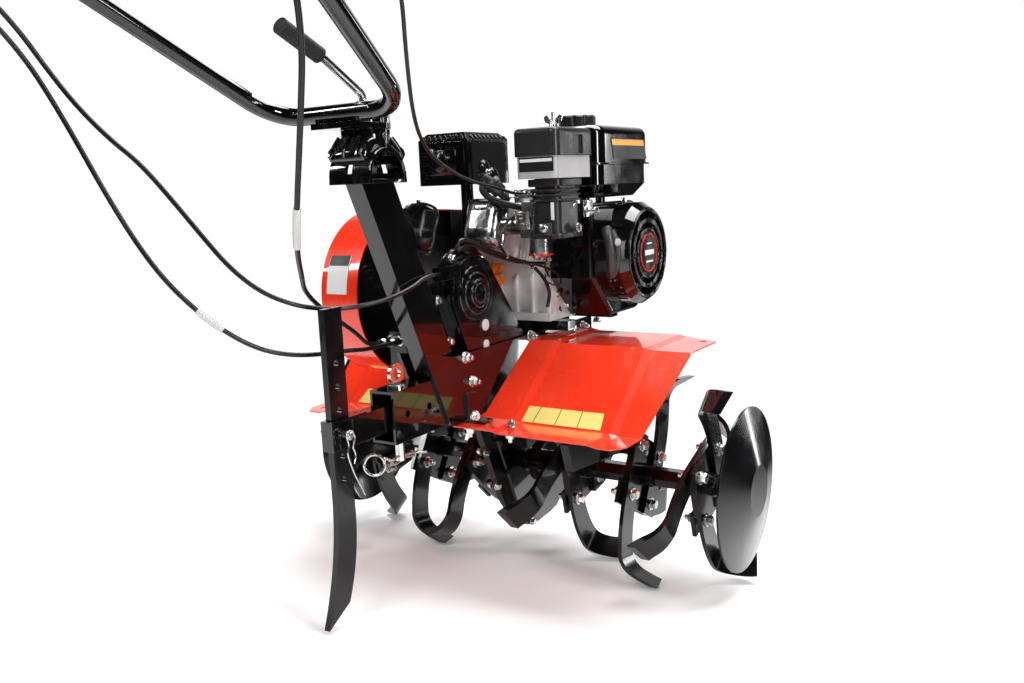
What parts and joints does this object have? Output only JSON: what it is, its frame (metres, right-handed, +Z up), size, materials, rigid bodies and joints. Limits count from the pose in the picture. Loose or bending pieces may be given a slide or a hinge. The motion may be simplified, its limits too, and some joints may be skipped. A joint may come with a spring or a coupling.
{
  "type": "walk-behind rotary tiller",
  "caption": "Walk-behind petrol rotary tiller: tined rotor with end discs, chain case, belt drive, engine, fenders, drag stake, tilting and swivelling handlebar.",
  "frame": {"origin": "centre of the bounding box on the floor, machine standing on its tines and drag stake", "axes": "+Z up, +Y forward (away from the operator), +X to the operator's right"},
  "size_m": [0.846, 1.4982, 0.9772],
  "materials": {
    "belt_rubber": "matte",
    "black_plastic": "matte",
    "black_tube": "gloss",
    "bright_steel": "polished",
    "cable_sheath": "satin",
    "cast_aluminium": "satin",
    "cast_iron_grey": "satin",
    "gloss_black": "gloss",
    "gloss_plastic": "gloss",
    "grip_rubber": "matte",
    "red_paint": "gloss",
    "tine_black": "satin",
    "zinc_steel": "satin"
  },
  "bodies": {
    "chassis": {"chain_case_right": "gloss_black", "chain_case_left": "gloss_black", "input_shaft": "bright_steel", "side_plate_right": "gloss_black", "side_plate_left": "gloss_black", "engine_rail_rear": "gloss_black", "engine_rail_front": "gloss_black", "hitch_box": "gloss_black", "hitch_pin": "zinc_steel", "drawbar": "gloss_black", "column": "gloss_black", "saddle": "gloss_black", "cable_left_1": "cable_sheath", "cable_left_2": "cable_sheath", "cable_right": "cable_sheath", "cable_throttle": "cable_sheath", "cable_bracket": "zinc_steel", "belt_cover": "red_paint", "belt_back_plate": "gloss_black", "pulley_driven": "cast_iron_grey", "pulley_engine": "cast_iron_grey", "drive_belt": "belt_rubber", "crankshaft": "bright_steel", "crankcase": "cast_aluminium", "cylinder": "cast_aluminium", "valve_cover": "cast_aluminium", "fan_housing": "gloss_plastic", "recoil_starter": "gloss_plastic", "starter_grip": "black_plastic", "fuel_tank": "gloss_black", "fuel_cap": "black_plastic", "air_cleaner_cover": "black_plastic", "air_cleaner_base": "black_plastic", "intake_elbow": "black_plastic", "carburettor": "cast_aluminium", "muffler_guard": "gloss_black", "muffler": "gloss_black", "exhaust_pipe": "cast_aluminium", "fender_right": "red_paint", "fender_left": "red_paint", "fender_brackets": "gloss_black"},
    "rotor": {"rotor_shaft": "tine_black", "disc_right": "tine_black", "disc_left": "tine_black", "tine_set_right_1": "tine_black", "tine_set_left_1": "tine_black", "tine_set_right_2": "tine_black", "tine_set_left_2": "tine_black", "tine_set_right_3": "tine_black", "tine_set_left_3": "tine_black"},
    "stake": {"drag_stake": "tine_black"},
    "head": {"head_block": "gloss_black"},
    "handlebar": {"swivel_plate": "gloss_black", "handlebar": "black_tube", "grip_right": "grip_rubber", "grip_left": "grip_rubber", "lock_lever": "zinc_steel", "lock_grip": "grip_rubber", "hand_levers": "black_tube", "lever_clamps": "gloss_black"}
  },
  "joints": [
    {"name": "rotor_spin", "type": "hinge", "parent": "chassis", "child": "rotor", "pos_m": [0, 0.55712, 0.17696], "axis": [1, 0, 0], "continuous": true},
    {"name": "stake_slide", "type": "slide", "parent": "chassis", "child": "stake", "axis": [0, -0.1456, 0.9893], "range_m": [-0.0975, 0.065]},
    {"name": "head_tilt", "type": "hinge", "parent": "chassis", "child": "head", "pos_m": [0, 0.07889, 0.63116], "axis": [1, 0, 0], "range_deg": [-14, 14], "deforming": ["cable_left_1", "cable_left_2", "cable_right", "cable_throttle"]},
    {"name": "handlebar_swivel", "type": "hinge", "parent": "head", "child": "handlebar", "pos_m": [0, 0.06957, 0.69448], "axis": [0, -0.1456, 0.9893], "range_deg": [-45, 45], "deforming": ["cable_left_1", "cable_left_2", "cable_right", "cable_throttle"]}
  ]
}
